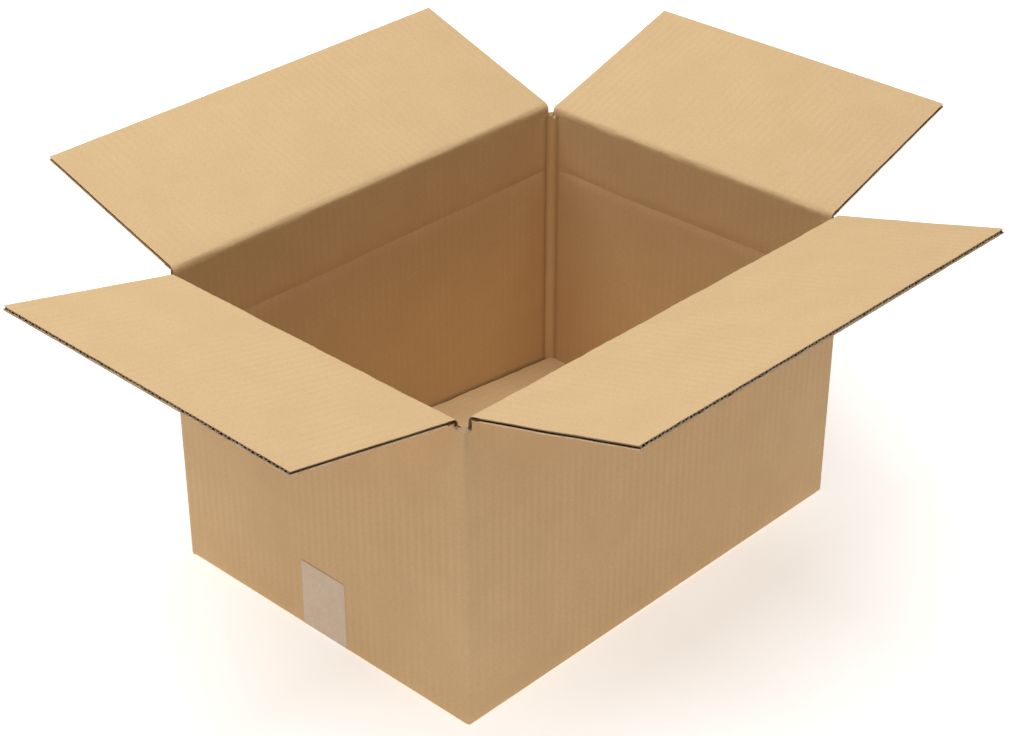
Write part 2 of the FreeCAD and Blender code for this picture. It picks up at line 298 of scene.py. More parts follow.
def kraft_paper(name, pale, deep, washboard_shade):
    """Brown kraft liner: clouded pulp, streaky fibres, a few flecks, faint lines of painted shade over the
    flutes, and the tones of the shade attribute.
    """
    material, tree, shader = new_material(name)
    place = grow(tree, "ShaderNodeUVMap", uv_map="board").outputs[0]
    clouds = noise(tree, place, 22.0, 4.0, 0.6)
    formation = noise(tree, place, 420.0, 4.0, 0.6, 0.4)
    fibres_along = noise(tree, stretched(tree, place, *ALONG_FIBRES), 1.0, 3.0, 0.6)
    fibres_across = noise(tree, stretched(tree, place, *ACROSS_FIBRES), 1.0, 3.0, 0.6)
    fibres = maths(tree, "MULTIPLY", maths(tree, "ADD", fibres_along, fibres_across), 0.5)
    across = grow(tree, "ShaderNodeSeparateXYZ", {"Vector": place}).outputs[0]
    # Lines over the flutes: painted shade of the washboard ridges, which also get a bump
    flutes = maths(tree, "SINE", maths(tree, "MULTIPLY", across, math.tau / FLUTE_PITCH))
    patchy = ramp(tree, noise(tree, place, 11.0, 2.0), 0.3, 0.7)
    flute_shade = maths(tree, "MULTIPLY", maths(tree, "MULTIPLY", flutes, patchy), washboard_shade)

    colour = blended(tree, maths(tree, "ADD", ramp(tree, clouds, 0.25, 0.75), flute_shade), deep, pale)
    thin = maths(tree, "MULTIPLY", ramp(tree, formation, 0.62, 0.3), THIN_PULP_SHARE)
    colour = blended(tree, thin, colour, tuple(0.8 * part for part in deep))
    bright = maths(tree, "MULTIPLY", ramp(tree, fibres, 0.5, 0.68), BRIGHT_FIBRE_SHARE)
    colour = blended(tree, bright, colour, tuple(min(1.0, 1.2 * part) for part in pale))
    dark = maths(tree, "MULTIPLY", ramp(tree, fibres, 0.47, 0.32), DARK_FIBRE_SHARE)
    colour = blended(tree, dark, colour, tuple(0.7 * part for part in deep))
    bark = maths(tree, "MULTIPLY", specks(tree, place, 260.0, 0.16, 0.03), BARK_SHARE)
    colour = blended(tree, bark, colour, tuple(0.4 * part for part in deep))
    # The shade attribute lightens and darkens the paper: rubbed cut edges, and painted highlight and shade on
    # beads, channels, slot floors and fold creases
    tone_and_painted_light = grow(tree, "ShaderNodeAttribute", attribute_name="shade").outputs["Fac"]
    colour = blended(tree, ramp(tree, tone_and_painted_light, 0.0, 1.0), colour, tuple(min(1.0, 1.12 * part) for part in pale))
    colour = blended(tree, ramp(tree, tone_and_painted_light, 0.0, -1.0), colour, tuple(0.62 * part for part in deep))
    tree.links.new(colour, shader.inputs["Base Color"])

    rough = grow(tree, "ShaderNodeMapRange", {"Value": formation, "To Min": 0.8, "To Max": 0.95}).outputs[0]
    tree.links.new(rough, shader.inputs["Roughness"])
    shader.inputs["Specular IOR Level"].default_value = 0.12
    relief = maths(tree, "ADD", maths(tree, "MULTIPLY", flutes, 0.45), maths(tree, "MULTIPLY", fibres, 0.8))
    relief = maths(tree, "ADD", relief, maths(tree, "MULTIPLY", formation, 0.6))
    bump = grow(tree, "ShaderNodeBump", {"Strength": 0.3, "Distance": BUMP_DISTANCE, "Height": relief})
    tree.links.new(bump.outputs[0], shader.inputs["Normal"])
    return material


def cut_paper(name, pale, deep):
    """Raw cut edge of the paper: paler, with short dark tears across it."""
    material, tree, shader = new_material(name)
    place = grow(tree, "ShaderNodeTexCoord").outputs["Object"]
    tears = noise(tree, place, 900.0, 3.0, 0.65)
    patches = noise(tree, place, 90.0, 2.0)
    share = maths(tree, "MULTIPLY", maths(tree, "ADD", tears, patches), 0.5)
    colour = blended(tree, ramp(tree, share, 0.38, 0.62), deep, pale)
    tree.links.new(colour, shader.inputs["Base Color"])
    shader.inputs["Roughness"].default_value = 0.92
    shader.inputs["Specular IOR Level"].default_value = 0.2
    bump = grow(tree, "ShaderNodeBump", {"Strength": 0.5, "Distance": BUMP_DISTANCE, "Height": tears})
    tree.links.new(bump.outputs[0], shader.inputs["Normal"])
    return material


def packing_tape(name):
    """Thin buff tape: the board's mottling shows through a smooth, slightly glossy film."""
    material, tree, shader = new_material(name)
    place = grow(tree, "ShaderNodeTexCoord").outputs["Object"]
    clouds = noise(tree, place, 60.0, 3.0, 0.6)
    bubbles = noise(tree, place, 420.0, 3.0, 0.6)
    colour = blended(tree, ramp(tree, clouds, 0.3, 0.7), TAPE_DEEP, TAPE_PALE)
    trapped_air = maths(tree, "MULTIPLY", ramp(tree, bubbles, 0.45, 0.7), 0.3)
    colour = blended(tree, trapped_air, colour, TRAPPED_AIR)
    tree.links.new(colour, shader.inputs["Base Color"])
    shader.inputs["Roughness"].default_value = 0.3
    shader.inputs["Specular IOR Level"].default_value = 0.4
    bump = grow(tree, "ShaderNodeBump", {"Strength": 0.2, "Distance": BUMP_DISTANCE, "Height": bubbles})
    tree.links.new(bump.outputs[0], shader.inputs["Normal"])
    return material


INNER_LINER = kraft_paper("kraft_inner_liner", (0.705, 0.495, 0.268), (0.672, 0.466, 0.248), 0.35)
OUTER_LINER = kraft_paper("kraft_outer_liner", (0.70, 0.475, 0.255), (0.655, 0.44, 0.232), 0.4)
FLUTE_PAPER = kraft_paper("kraft_fluting", (0.72, 0.52, 0.31), (0.62, 0.43, 0.245), 0.0)
CUT_EDGE = cut_paper("cut_board_edge", (0.86, 0.68, 0.46), (0.66, 0.48, 0.29))
BOARD_MATERIALS = [INNER_LINER, OUTER_LINER, FLUTE_PAPER, CUT_EDGE]
TAPE_FILM = packing_tape("buff_tape")


# Meshes
def finish_mesh(name, points, faces, board_uv, shade, materials, face_slots):
    """A closed mesh object with outward faces, its board coordinates, tones and smooth shading: paler rubbed
    cut edges, and painted light and shade.
    """
    mesh = bpy.data.meshes.new(name)
    mesh.from_pydata([tuple(point) for point in points], [], faces)
    for material in materials:
        mesh.materials.append(material)
    mesh.polygons.foreach_set("material_index", face_slots)
    layer = mesh.uv_layers.new(name="board")
    corners = np.zeros(len(mesh.loops), int)
    mesh.loops.foreach_get("vertex_index", corners)
    layer.data.foreach_set("uv", np.asarray(board_uv, float)[corners].ravel())
    mesh.attributes.new("shade", "FLOAT", "POINT").data.foreach_set("value", np.asarray(shade, float))
    shell = bmesh.new()
    shell.from_mesh(mesh)
    bmesh.ops.recalc_face_normals(shell, faces=shell.faces)
    shell.to_mesh(mesh)
    shell.free()
    mesh.shade_smooth()
    mesh.set_sharp_from_angle(angle=SHARP_ANGLE)
    made = bpy.data.objects.new(name, mesh)
    bpy.context.collection.objects.link(made)
    return made


class Shell:
    """Points, faces, board coordinates and tones gathered for one object: paler rubbed cut edges, and painted
    light and shade.
    """

    def __init__(self):
        self.points, self.faces, self.uv, self.shade, self.slots = [], [], [], [], []

    def add(self, points, uv, shade=0.0):
        """Store a grid of points and return the grid of their numbers."""
        points = np.asarray(points, float)
        shape = points.shape[:-1]
        start = len(self.points)
        self.points.extend(points.reshape(-1, 3))
        self.uv.extend(np.broadcast_to(uv, shape + (2,)).reshape(-1, 2))
        self.shade.extend(np.broadcast_to(shade, shape).reshape(-1))
        return np.arange(start, start + points[..., 0].size).reshape(shape)

    def skin(self, grid, slot):
        """Quads over a grid of point numbers."""
        for row in range(grid.shape[0] - 1):
            for column in range(grid.shape[1] - 1):
                self.quad(grid[row, column], grid[row + 1, column], grid[row + 1, column + 1],
                          grid[row, column + 1], slot)

    def quad(self, *corners_and_slot):
        """One face, given its corners and then its material slot."""
        *corners, slot = corners_and_slot
        corners = [int(corner) for corner in corners]
        self.faces.append([corner for place, corner in enumerate(corners) if corner != corners[place - 1]])
        self.slots.append(slot)

    def slab(self, front, back, uv, slots, shade=0.0):
        """Closed sheet between two grids of points; slots are those of its front, its back and its rim."""
        front_slot, back_slot, rim_slot = slots
        first, second = self.add(front, uv, shade), self.add(back, uv, shade)
        self.skin(first, front_slot)
        self.skin(second[:, ::-1], back_slot)
        for outer, inner in zip(rim(first), rim(second)):
            self.quad(outer[1], outer[0], inner[0], inner[1], rim_slot)

    def build(self, name, materials=BOARD_MATERIALS):
        """The finished object, in the board's four materials unless others are given."""
        return finish_mesh(name, self.points, self.faces, self.uv, self.shade, materials, self.slots)


def rim(grid):
    """Pairs of neighbouring point numbers round the border of a grid."""
    loop = np.concatenate([grid[:-1, 0], grid[-1, :-1], grid[:0:-1, -1], grid[0, :0:-1]])
    return list(zip(loop, np.roll(loop, -1)))


def steps(low, high, size):
    """Even positions between two ends, about one step apart."""
    return np.linspace(low, high, max(2, int(round((high - low) / size)) + 1))


# Sides of the carton, walked round anticlockwise from above
class Side:
    """One wall with its top flap: where its hinge line lies, how wide the flap is and how it folds."""

    def __init__(self, label, node, walked, trim=0.0):
        fold = JOINTS[label + "_fold"]
        self.label, self.node, self.walked, self.trim = label, node, walked, trim
        self.axis_point = np.array(fold["pos_m"], float)
        self.axis_z = self.axis_point[2]
        self.out = np.array([*self.axis_point[:2], 0.0]) / np.linalg.norm(self.axis_point[:2])
        self.along = np.cross(UP, self.out)
        self.raised = math.pi - math.radians(fold["range_deg"][1])
        self.reach = np.linalg.norm(self.axis_point[:2]) + HALF_BOARD
        self.half_run = HALF_WIDTH if abs(self.out[0]) > 0.5 else HALF_LENGTH
        self.corner = self.half_run - BOARD
        self.low, self.high = sorted(float(np.dot(corner, self.along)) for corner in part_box(node))
        self.length = HALF_WIDTH - HALF_BOARD - CENTRE_GAP / 2 - EDGE_SHY

    def wall_point(self, outward, across, height):
        """Point by distance from the middle of the carton, along the wall, and height."""
        outward, across, height = np.broadcast_arrays(outward, across, height)
        return outward[..., None] * self.out + across[..., None] * self.along + height[..., None] * UP

    def flap_directions(self):
        """Direction from the hinge to the free edge, and the way the inner liner faces."""
        towards = self.out * math.cos(self.raised) + UP * math.sin(self.raised)
        facing = -self.out * math.sin(self.raised) + UP * math.cos(self.raised)
        return towards, facing

    def flap_point(self, away, across, proud):
        """Point of the top flap: away from the hinge, along it, and proud of the board's middle."""
        towards, facing = self.flap_directions()
        away, across, proud = np.broadcast_arrays(away, across, proud)
        return (self.axis_point + away[..., None] * towards + across[..., None] * self.along
                + proud[..., None] * facing)

    def board_uv(self, across, path):
        """Coordinates on the unfolded sheet: round the carton, and up the wall and out along the flap."""
        across, path = np.broadcast_arrays(across, path)
        return np.stack([self.walked + across, path], -1)

    def flap_low(self, away):
        """Across position of the flap's first side edge at a distance from the hinge."""
        return self.low + 0.0 * away

    def flap_high(self, away):
        """Across position of the flap's other side edge at a distance from the hinge."""
        return self.high - self.trim * (1 - np.clip(away / self.length, 0, 1))


QUARTER = HALF_LENGTH + HALF_WIDTH
BACK_SHORT = Side("short_back", "short_flap_back", 0.0)
BACK_LONG = Side("long_back", "long_flap_back", QUARTER)
FRONT_SHORT = Side("short_front", "short_flap_front", 2 * QUARTER, WIDE_SLOT_EXTRA)
FRONT_LONG = Side("long_front", "long_flap_front", 3 * QUARTER)
SIDES = [BACK_SHORT, BACK_LONG, FRONT_SHORT, FRONT_LONG]
SLOT_BOTTOM = BACK_SHORT.axis_z - SLOT_DROP

# Each top flap with the lift at both ends of its free edge, the bow between and its seed
FLAP_BENDS = ((FRONT_SHORT, 2.0 * MM, 0.0, 0.3 * MM, 100), (FRONT_LONG, 0.0, -1.5 * MM, -0.3 * MM, 140),
              (BACK_LONG, 0.0, -4.6 * MM, -0.4 * MM, 180), (BACK_SHORT, 0.2 * MM, 0.1 * MM, 0.3 * MM, 220))


# Fluted flaps
def flute_tree():
    """Geometry nodes that make the wave of paper between two liners, with its thickness."""
    tree = bpy.data.node_groups.new("fluting", "GeometryNodeTree")
    sockets = {}
    for name, kind in (("Depth", "NodeSocketFloat"), ("Width", "NodeSocketFloat"),
                       ("Flutes", "NodeSocketFloat"), ("Height", "NodeSocketFloat"),
                       ("Thickness", "NodeSocketFloat"), ("Rows", "NodeSocketInt"),
                       ("Columns", "NodeSocketInt")):
        sockets[name] = tree.interface.new_socket(name, in_out="INPUT", socket_type=kind).identifier
    tree.interface.new_socket("Geometry", in_out="OUTPUT", socket_type="NodeSocketGeometry")
    given = tree.nodes.new("NodeGroupInput").outputs
    sheet = grow(tree, "GeometryNodeMeshGrid", {"Size X": given["Depth"], "Size Y": given["Width"],
                                              "Vertices X": given["Rows"], "Vertices Y": given["Columns"]})
    position = grow(tree, "GeometryNodeInputPosition").outputs[0]
    across = grow(tree, "ShaderNodeSeparateXYZ", {0: position}).outputs[1]
    turns = maths(tree, "ADD", maths(tree, "DIVIDE", across, given["Width"]), 0.5)
    angle = maths(tree, "MULTIPLY", maths(tree, "MULTIPLY", turns, given["Flutes"]), math.tau)
    wave = maths(tree, "MULTIPLY", maths(tree, "COSINE", angle), -WAVE_SWING)
    crested = maths(tree, "MAXIMUM", maths(tree, "MINIMUM", wave, 1.0), -1.0)
    lift = grow(tree, "ShaderNodeCombineXYZ", {2: maths(tree, "MULTIPLY", crested, given["Height"])})
    waved = grow(tree, "GeometryNodeSetPosition", {"Geometry": sheet.outputs[0], "Offset": lift.outputs[0]})
    thick = grow(tree, "GeometryNodeExtrudeMesh",
                 {"Mesh": waved.outputs[0], "Offset Scale": given["Thickness"], "Individual": False},
                 mode="FACES")
    under = grow(tree, "GeometryNodeFlipFaces", {0: waved.outputs[0]})
    both = grow(tree, "GeometryNodeJoinGeometry")
    tree.links.new(thick.outputs[0], both.inputs[0])
    tree.links.new(under.outputs[0], both.inputs[0])
    closed = grow(tree, "GeometryNodeMergeByDistance", {0: both.outputs[0], "Distance": MERGE_DISTANCE})
    solid = grow(tree, "GeometryNodeRealizeInstances", {0: closed.outputs[0]})
    painted = grow(tree, "GeometryNodeSetMaterial", {0: solid.outputs[0], "Material": FLUTE_PAPER})
    tree.links.new(painted.outputs[0], tree.nodes.new("NodeGroupOutput").inputs[0])
    return tree, sockets


FLUTE_TREE, FLUTE_SOCKETS = flute_tree()


def fluting(depth, width, rows):
    """Points and faces of one sheet of fluting, flat, centred across and starting at X = 0."""
    holder = bpy.data.objects.new("fluting", bpy.data.meshes.new("fluting"))
    bpy.context.collection.objects.link(holder)
    modifier = holder.modifiers.new("fluting", "NODES")
    modifier.node_group = FLUTE_TREE
    flutes = round(width / FLUTE_PITCH)
    values = {"Depth": depth, "Width": width, "Flutes": float(flutes), "Thickness": MEDIUM,
              "Height": HALF_BOARD - LINER - MEDIUM / 2, "Rows": rows,
              "Columns": flutes * STEPS_PER_FLUTE + 1}
    for name, value in values.items():
        modifier[FLUTE_SOCKETS[name]] = value
    bpy.context.view_layer.update()
    mesh = bpy.data.meshes.new_from_object(holder.evaluated_get(bpy.context.evaluated_depsgraph_get()))
    points = np.zeros(len(mesh.vertices) * 3)
    mesh.vertices.foreach_get("co", points)
    points = points.reshape(-1, 3)
    points[:, 0] += depth / 2
    faces = [list(face.vertices) for face in mesh.polygons]
    bpy.data.objects.remove(holder)
    bpy.data.meshes.remove(mesh)
    return points, faces


class Sheet:
    """A flat flap of fluted board in its own frame, with the small warps and rough cuts of paper."""

    def __init__(self, place, uv_place, low, high, start, length, seed, warp, ragged, retreat=None):
        self.place, self.uv_place, self.low, self.high = place, uv_place, low, high
        self.start, self.length, self.seed, self.warp, self.ragged = start, length, seed, warp, ragged
        self.retreat = retreat or (lambda across: 0.0 * across)

    def rows(self):
        """Shares of the way from the root to the free edge, close together where the board was cut."""
        run = self.length - self.start
        even = steps(0.0, 1.0 - CUT_RUN / run, ALONG_STEP / run)
        return np.concatenate([even, 1.0 - CUT_RUN / run * np.array([0.6, 0.3, 0.12, 0.0])])

    def grid(self, seed):
        """Away and across positions of one liner, with uneven free and side edges."""
        width = self.high(self.length) - self.low(self.length)
        share, cross = np.meshgrid(self.rows(), steps(0.0, 1.0, ACROSS_STEP / width), indexing="ij")
        away = self.start + share * (self.length - self.start)
        torn = wander(cross * width, 2.6 * MM, seed) + wander(cross * width, 19 * MM, seed + 1)
        back = self.ragged * np.abs(torn) + self.retreat(self.low(away) + cross * width)
        away = away - smooth((share - 0.5) * 2) * back
        low, high = self.low(away), self.high(away)
        side = self.ragged * smooth((away - self.start) / (6 * MM))
        low = low + side * np.abs(wander(away, 5 * MM, seed + 2))
        high = high - side * np.abs(wander(away, 5 * MM, seed + 3))
        return away, low + cross * (high - low), share, cross * (high - low), (1 - cross) * (high - low)

    def point(self, away, across, proud):
        """Point of the sheet with its warp."""
        return self.place(away, across, proud + self.warp(away, across))

    def liner(self, shell, outward, seed, lip):
        """One liner with a lip where it was cut; outward is 1 for the inner liner, -1 for the outer."""
        away, across, share, from_low, from_high = self.grid(seed)
        run = self.length - self.start
        cut = smooth(((share - 1) * run + CUT_RUN) / CUT_RUN)
        uneven = 1 + 0.35 * wander(across, 5.5 * MM, seed + 5)
        side_cut = smooth(1 - np.minimum(from_low, from_high) / CUT_RUN)
        thick = LINER + lip * uneven * np.maximum(cut, SIDE_LIP_SHARE * side_cut)
        crushed = SURFACE_CRUSH * np.maximum(cut, side_cut)
        face = outward * (HALF_BOARD - crushed)
        under = outward * (HALF_BOARD - thick)
        shade = EDGE_WEAR * np.maximum(cut, side_cut)
        paper = INNER_PAPER if outward > 0 else OUTER_PAPER
        shell.slab(self.point(away, across, face), self.point(away, across, under),
                   self.uv_place(away, across), (paper, WAVE_PAPER, CUT_PAPER), shade)

    def medium(self, shell):
        """The wave of paper between the liners, a little behind the cut edges."""
        width = self.high(self.length) - self.low(self.length)
        points, faces = fluting(self.length - self.start, width, FLUTE_ROWS)
        away = self.start + points[:, 0]
        share = points[:, 1] / width + 0.5
        low, high = self.low(away), self.high(away)
        across = np.clip(low + share * (high - low), low + MEDIUM_INSET, high - MEDIUM_INSET)
        torn = MEDIUM_TEAR * (0.5 + np.abs(wander(across, 3.1 * MM, self.seed + 11)))
        away = away - smooth((away - self.length + 9 * MM) / (9 * MM)) * (torn + self.retreat(across))
        numbers = shell.add(self.point(away, across, points[:, 2]), self.uv_place(away, across))
        for face in faces:
            shell.quad(*(numbers[corner] for corner in face), WAVE_PAPER)


def flap_warp(side, low_lift, high_lift, bow, seed):
    """Slow bend of a top flap, nothing at the hinge: lift at each end of the free edge and a bow between.

    Long flaps close over short ones, so every bend of a long flap is outwards and every bend of a short
    one inwards.
    """
    clear = -FLAP_RIPPLE if side in (FRONT_LONG, BACK_LONG) else FLAP_RIPPLE

    def warp(away, across):
        run = np.clip((away - CRUSHED_ROOT) / (side.length - CRUSHED_ROOT), 0, 1)
        share = np.clip((across - side.low) / (side.high - side.low), 0, 1)
        lift = low_lift * (1 - share) + high_lift * share
        uneven = clear * np.abs(ripple(away, across, 90 * MM, seed)) * np.sin(math.pi * run)
        return run * lift + smooth(run * 3) * (bow * np.sin(math.pi * share) * run + uneven)
    return warp


def top_flap(side, low_lift, high_lift, bow, seed):
    """Both liners and the fluting of one top flap."""
    def retreat(across):
        share = np.clip((across - side.low) / (side.high - side.low), 0, 1)
        fall = np.clip(-(low_lift * (1 - share) + high_lift * share), 0, None)
        return fall * math.tan(side.raised)

    sheet = Sheet(side.flap_point, lambda away, across: side.board_uv(across, side.axis_z + away),
                  side.flap_low, side.flap_high, CRUSHED_ROOT, side.length, seed,
                  flap_warp(side, low_lift, high_lift, bow, seed), FLAP_RAGGED, retreat)
    shell = Shell()
    sheet.liner(shell, 1, seed, INNER_LIP)
    sheet.liner(shell, -1, seed + 20, OUTER_LIP)
    sheet.medium(shell)
    made = shell.build(side.node + "_board")
    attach(made, side.label)
    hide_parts(side.node)


def fold_section(side):
    """Middle line of the board through a top fold: place in the upright plane, facing, path and crush."""
    turn = math.pi / 2 - side.raised
    radius = FOLD_REACH / math.tan(turn / 2)
    below = side.axis_z - SLOT_BOTTOM
    samples = []
    for path in steps(-below, -FOLD_REACH, FOLD_ROW)[:-1]:
        samples.append(((0.0, path), (-1.0, 0.0), path))
    for angle in np.linspace(0, turn, 11):
        facing = (-math.cos(angle), math.sin(angle))
        middle = (radius - radius * math.cos(angle), -FOLD_REACH + radius * math.sin(angle))
        samples.append((middle, facing, -FOLD_REACH + 2 * FOLD_REACH * angle / turn))
    towards = (math.sin(turn), math.cos(turn))
    for path in steps(FOLD_REACH, CRUSHED_ROOT, FOLD_ROW)[1:]:
        samples.append(((towards[0] * path, towards[1] * path), (-math.cos(turn), math.sin(turn)), path))
    return samples


def fold_band(side, seed):
    """The creased strip that joins a wall to its top flap, liner by liner."""
    shell = Shell()
    samples = fold_section(side)
    middle = np.array([sample[0] for sample in samples])
    facing = np.array([sample[1] for sample in samples])
    path = np.array([sample[2] for sample in samples])
    low, high = side.flap_low(0.0), side.flap_high(0.0)
    path_grid, share = np.meshgrid(path, steps(0.0, 1.0, FOLD_STEP / (high - low)), indexing="ij")
    away = np.clip(path_grid, 0, None)
    left, right = side.flap_low(away), side.flap_high(away)
    across = left + share * (right - left)
    ends = smooth((path_grid - path[0]) / FOLD_FADE) * smooth((path[-1] - path_grid) / FOLD_FADE)
    for outward, slot in ((1, INNER_PAPER), (-1, OUTER_PAPER)):
        drift = FOLD_DRIFT * wander(across, 31 * MM, seed + slot)
        depth = FOLD_CRUSH * (1 + 0.4 * wander(across, 14 * MM, seed + 3 + slot))
        main = depth * np.exp(-((path_grid - drift) / FOLD_WIDTH) ** 2)
        second_place = WRINKLE_PLACE + 1.1 * MM * wander(across, 23 * MM, seed + 9)
        patches = np.clip(wander(across, 47 * MM, seed + 7), 0, 1)
        second = patches * np.exp(-((path_grid - second_place) / WRINKLE) ** 2)
        crinkle = CRINKLE * wander(across, 3.3 * MM, seed + 5 + slot)
        crinkle = crinkle * np.exp(-(path_grid / CRINKLE_REACH) ** 2)
        pressed = (main + WRINKLE_DEPTH * second + crinkle) * ends
        skins = []
        for level in (HALF_BOARD, HALF_BOARD - LINER):
            proud = outward * (level - pressed)
            outwards = middle[:, None, 0] + facing[:, None, 0] * proud
            heights = middle[:, None, 1] + facing[:, None, 1] * proud
            skins.append(side.wall_point(side.reach - HALF_BOARD + outwards, across, side.axis_z + heights))
        # The tones given here darken the crease and its wrinkle: painted shade
        shell.slab(skins[0], skins[1], side.board_uv(across, side.axis_z + path_grid),
                   (slot, WAVE_PAPER, CUT_PAPER), -0.5 * CREASE_PAINTED_SHADE * (main / FOLD_CRUSH + second) * ends)
    made = shell.build(side.label + "_fold_crease")
    towards, _ = side.flap_directions()
    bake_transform(made)


# Walls
def folded_corner(side, following):
    """Outer points round a folded corner, from this side's slot edge to the next one's."""
    radius, reach, run = CORNER_RADIUS, side.reach, side.half_run
    points, ways = [], []
    start = side.flap_high(0.0)
    for across in steps(start, run - radius, FOLD_ROW)[1:-1]:
        points.append((reach, across))
        ways.append((1, 0))
    for angle in np.linspace(0, math.pi / 2, 9):
        points.append((reach - radius + radius * math.cos(angle), run - radius + radius * math.sin(angle)))
        ways.append((math.cos(angle), math.sin(angle)))
    end = following.half_run + following.flap_low(0.0)
    for back in steps(radius, end, FOLD_ROW)[1:-1]:
        points.append((reach - back, run))
        ways.append((0, 1))
    return points, ways


def glued_corner(side):
    """Outer points at the glued joint: a groove, then the cut edge of the front short wall."""
    reach, run = side.reach, side.half_run
    groove = [(reach - GROOVE_DEPTH, run - BOARD + 1.1 * MM), (reach - 0.3 * GROOVE_DEPTH, run - 0.5 * BOARD)]
    edge = [(reach - 0.05 * MM, run - 0.15 * MM), (reach - 0.3 * MM, run), (reach - CORNER_RADIUS, run)]
    outer = groove + edge
    ways = [(1, 0), (1, 0), (1, 0), (1, 1), (0, 1)]
    return outer, ways


def inner_place(run, beaded):
    """Place on the inner liner by run from the corner: back from the next wall and out from this one."""
    if not beaded:
        return (max(-run, 0.0), max(run, 0.0))
    distance = abs(run)
    if distance >= BEAD_LEG:
        beyond = distance - BEAD_LEG
        sunk = CHANNEL_DEPTH * float(smooth(1 - beyond / CHANNEL_RUN))
        swell = SWELL * math.exp(-((beyond - 1.5 * CHANNEL_RUN) / (0.9 * CHANNEL_RUN)) ** 2)
        place = (distance, swell - sunk)
    else:
        share = 0.5 - 0.5 * distance / BEAD_LEG
        proud = BEAD_BULGE * 4 * share * (1 - share) / math.sqrt(2) - 0.5 * CHANNEL_DEPTH * (1 - 2 * share)
        place = (BEAD_LEG * (1 - share) + proud, BEAD_LEG * share + proud)
    return place if run <= 0 else place[::-1]


def bead_painted_light(run):
    """Painted highlight on the bead, painted shade in the channels beside it, and a little painted light
    beyond them.
    """
    distance = abs(run) - BEAD_LEG
    pale = BEAD_HIGHLIGHT * float(smooth(-distance / (0.45 * BEAD_LEG)))
    dark = CHANNEL_SHADE * math.exp(-((distance - 0.25 * CHANNEL_RUN) / (0.3 * CHANNEL_RUN)) ** 2)
    beyond = SWELL_LIGHT * math.exp(-((distance - 1.9 * CHANNEL_RUN) / (0.8 * CHANNEL_RUN)) ** 2)
    return pale + dark + beyond


def straight_positions(side):
    """Across positions of one wall's columns: even in the middle, close together near its corners."""
    low, high = side.flap_low(0.0), side.flap_high(0.0)
    near = side.corner - BEAD_LEG - NEAR_CORNER
    middle = steps(-near[0] + ALONG_STEP, near[0] - ALONG_STEP, ALONG_STEP)
    wanted = [low, high, *near[near < high - 0.3 * MM], *(-near[-near > low + 0.3 * MM]), *middle]
    return sorted({round(float(value), 7) for value in wanted})


def wall_columns():
    """Columns round the carton: outer point, its way outwards, and the run on the inner liner."""
    columns = []
    for place, side in enumerate(SIDES):
        following, before = SIDES[(place + 1) % 4], SIDES[place - 1]
        glued = side is BACK_LONG
        for across in straight_positions(side):
            towards_high = across > 0
            run = abs(across) - side.corner
            beaded = side is not BACK_LONG if towards_high else before is not BACK_LONG
            columns.append({"side": side, "across": across, "outer": (side.reach, across), "way": (1, 0),
                            "end": 1 if towards_high else -1, "run": min(run, -0.05 * MM), "beaded": beaded,
                            "straight": True})
        outer, ways = glued_corner(side) if glued else folded_corner(side, following)
        first = min(side.flap_high(0.0) - side.corner, -0.1 * MM)
        last = max(following.corner + following.flap_low(0.0), 0.1 * MM)
        runs = np.linspace(first, last, len(outer) + 2)[1:-1]
        runs[np.argmin(np.abs(runs))] = 0.0
        for point, way, run in zip(outer, ways, runs):
            before_corner = point[1] < side.half_run - TOLERANCE
            travelled = point[1] if before_corner else side.half_run + side.reach - point[0]
            columns.append({"side": side, "across": travelled, "outer": point, "way": way, "end": 1,
                            "run": float(run), "beaded": not glued, "straight": False})
    return columns


def scored_line(walked, heights):
    """How far the inner liner is pressed out along the scored height line, soft and a little wavy."""
    rise = heights - HEIGHT_CREASE_Z - SCORE_WAVER * wander(walked, 63 * MM, 81)
    strength = 0.75 + 0.25 * wander(walked, 41 * MM, 82)
    soft = SCORE_DEPTH * np.exp(-(rise / SCORE_REACH) ** 2)
    return strength * (soft + SCORE_CUT * np.exp(-np.abs(rise) / SCORE_CUT_REACH))


def inner_wall_point(column, heights):
    """Inner points of one column of the walls, with its part of a corner bead and of the scored line."""
    side, end, run = column["side"], column["end"], column["run"]
    wobble = 1 + BEAD_WOBBLE * wander(heights, 37 * MM, 5 + round(side.walked * 10))
    back, out = inner_place(run, column["beaded"])
    flat_back, flat_out = max(-run, 0.0), max(run, 0.0)
    shown = smooth((SLOT_BOTTOM - heights) / (2.5 * MM)) if column["straight"] else 1.0
    narrowed = 1 - 0.35 * smooth(1 - (heights - BASE_Z) / (90 * MM))
    amount = shown * wobble * narrowed
    back = flat_back + (back - flat_back) * amount
    out = flat_out + (out - flat_out) * amount
    flat = smooth((-run - BEAD_LEG) / (5 * MM))
    pressed = scored_line(side.walked + column["across"], heights) * flat
    return side.wall_point(side.reach - BOARD - out + pressed, end * (side.corner - back), heights)


def wall_bulge(column, heights):
    """Slight outward swell of a wall between its corners."""
    side = column["side"]
    centred = np.clip(1 - (column["outer"][1] / side.half_run) ** 2, 0, 1)
    climb = np.sin(math.pi * np.clip((heights - BASE_Z) / (SLOT_BOTTOM - BASE_Z), 0, 1))
    return centred * climb * WALL_RIPPLE * ripple(side.walked + column["across"], heights, 120 * MM, 3)


def wall_heights():
    """Heights of the wall's rows: the rounded foot, the scored height line and the plain runs."""
    foot = BASE_Z + FOOT_RADIUS * (1 - np.cos(np.linspace(0, math.pi / 2, 5)))
    crease = HEIGHT_CREASE_Z + SCORE_ROWS
    lower = steps(foot[-1], crease[0], 9 * MM)[1:-1]
    upper = steps(crease[-1], SLOT_BOTTOM - 5 * MM, 8 * MM)[1:]
    top = SLOT_BOTTOM - TOP_ROWS
    return np.concatenate([foot, lower, crease, upper, top])


